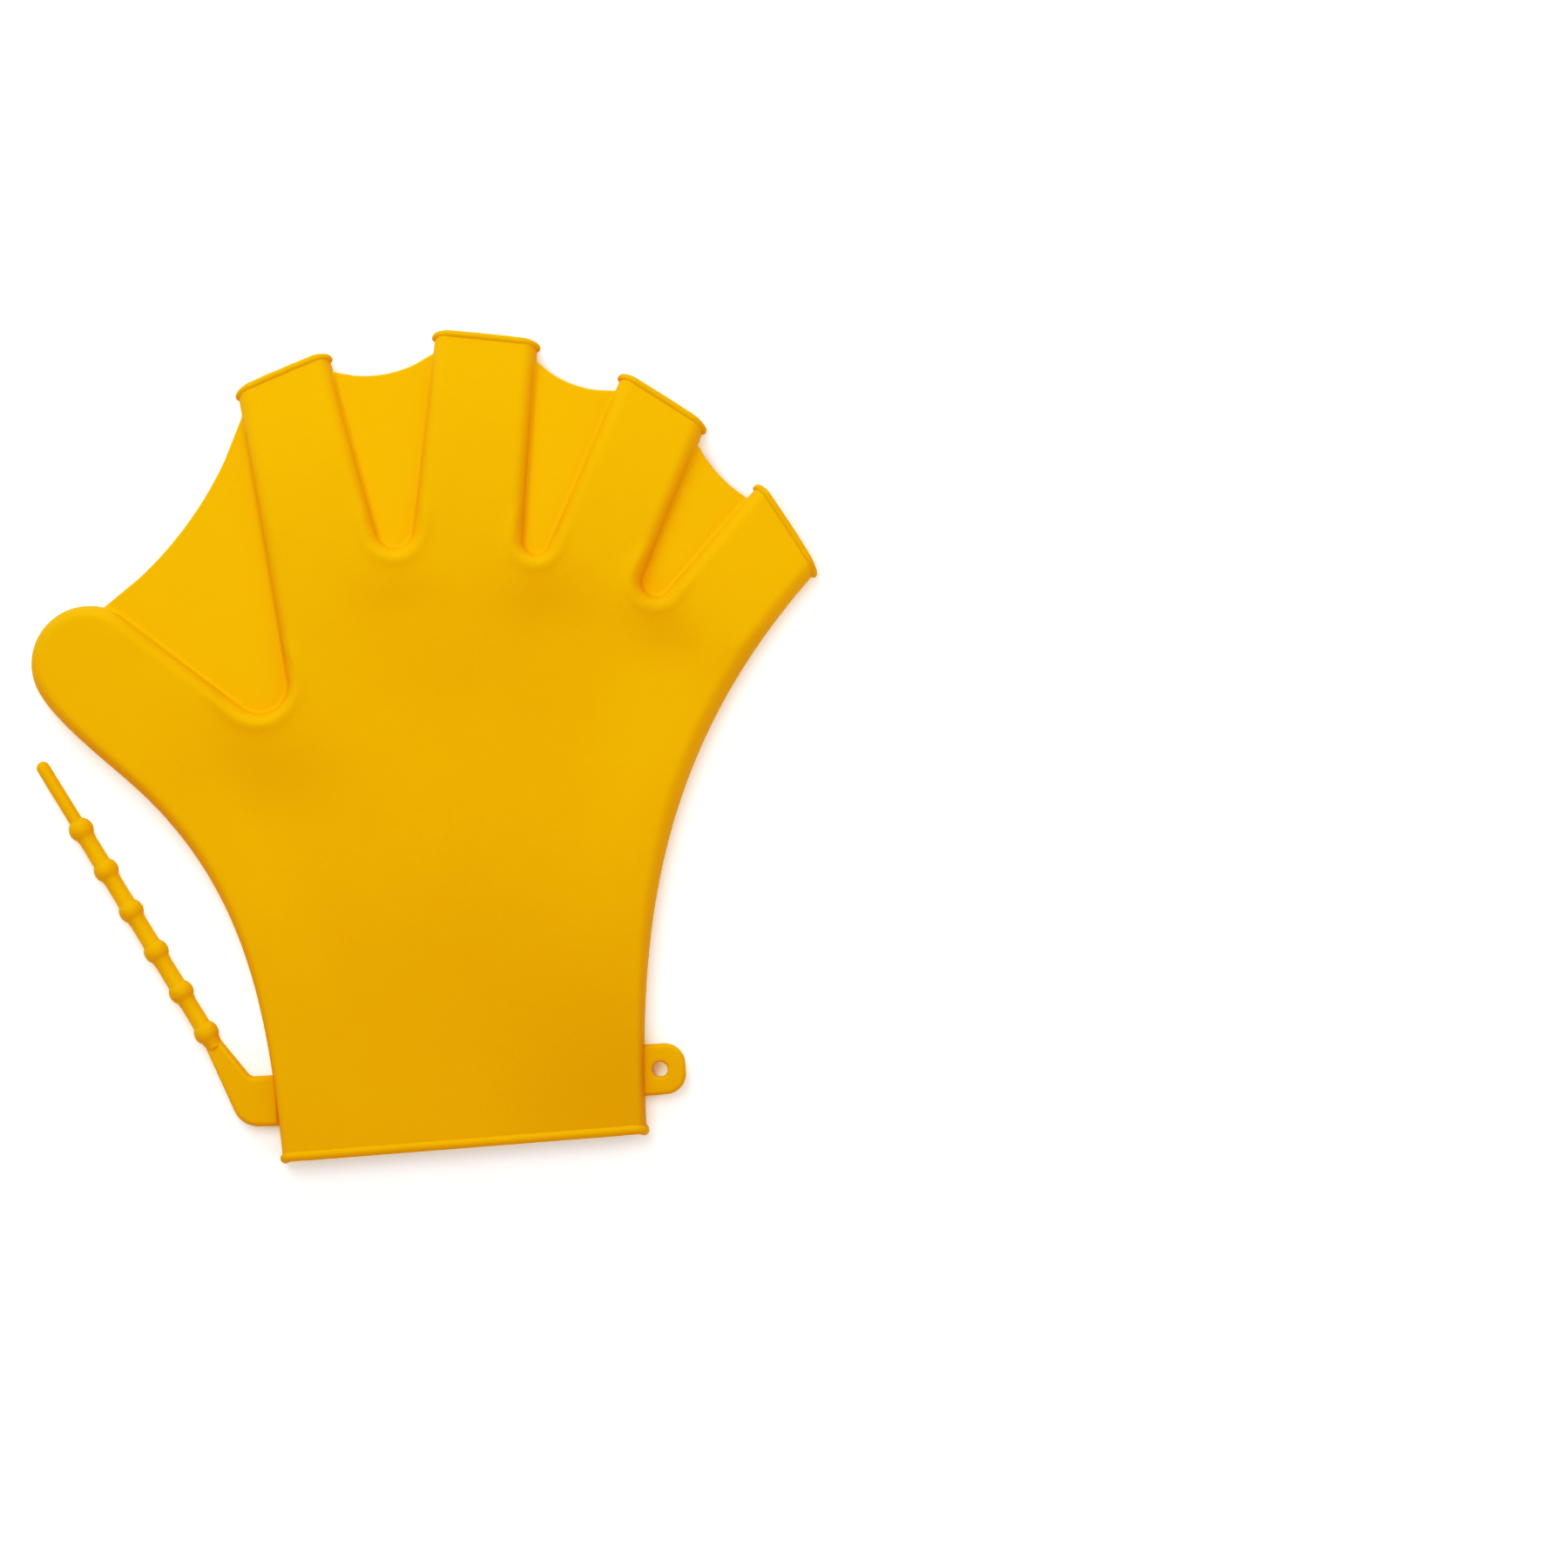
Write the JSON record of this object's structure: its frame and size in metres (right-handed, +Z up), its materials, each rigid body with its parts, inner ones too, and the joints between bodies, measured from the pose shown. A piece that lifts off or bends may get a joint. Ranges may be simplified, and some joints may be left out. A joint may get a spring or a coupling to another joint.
{
  "type": "webbed swim glove",
  "caption": "Moulded silicone swim glove with webs between open-ended fingers, a closed thumb, rolled openings, and a beaded wrist strap with its eyelet tab.",
  "frame": {"origin": "centre of the glove's box, on the plane that the glove lies on", "axes": "+Y from the wrist towards the fingers, square to the wrist edge; +X along the wrist edge, away from the thumb; +Z up from the side that the glove lies on"},
  "size_m": [0.2072, 0.2138, 0.0107],
  "materials": {
    "yellow_silicone": "satin"
  },
  "bodies": {
    "root": {"palm_shell": "yellow_silicone", "cuff_shell": "yellow_silicone", "index_stall": "yellow_silicone", "middle_stall": "yellow_silicone", "ring_stall": "yellow_silicone", "little_stall": "yellow_silicone", "thumb_stall": "yellow_silicone", "index_rim": "yellow_silicone", "middle_rim": "yellow_silicone", "ring_rim": "yellow_silicone", "little_rim": "yellow_silicone", "cuff_rim": "yellow_silicone", "thumb_index_web": "yellow_silicone", "index_middle_web": "yellow_silicone", "middle_ring_web": "yellow_silicone", "ring_little_web": "yellow_silicone", "eyelet_tab": "yellow_silicone", "strap_arm": "yellow_silicone", "bead_strap": "yellow_silicone"}
  },
  "joints": []
}
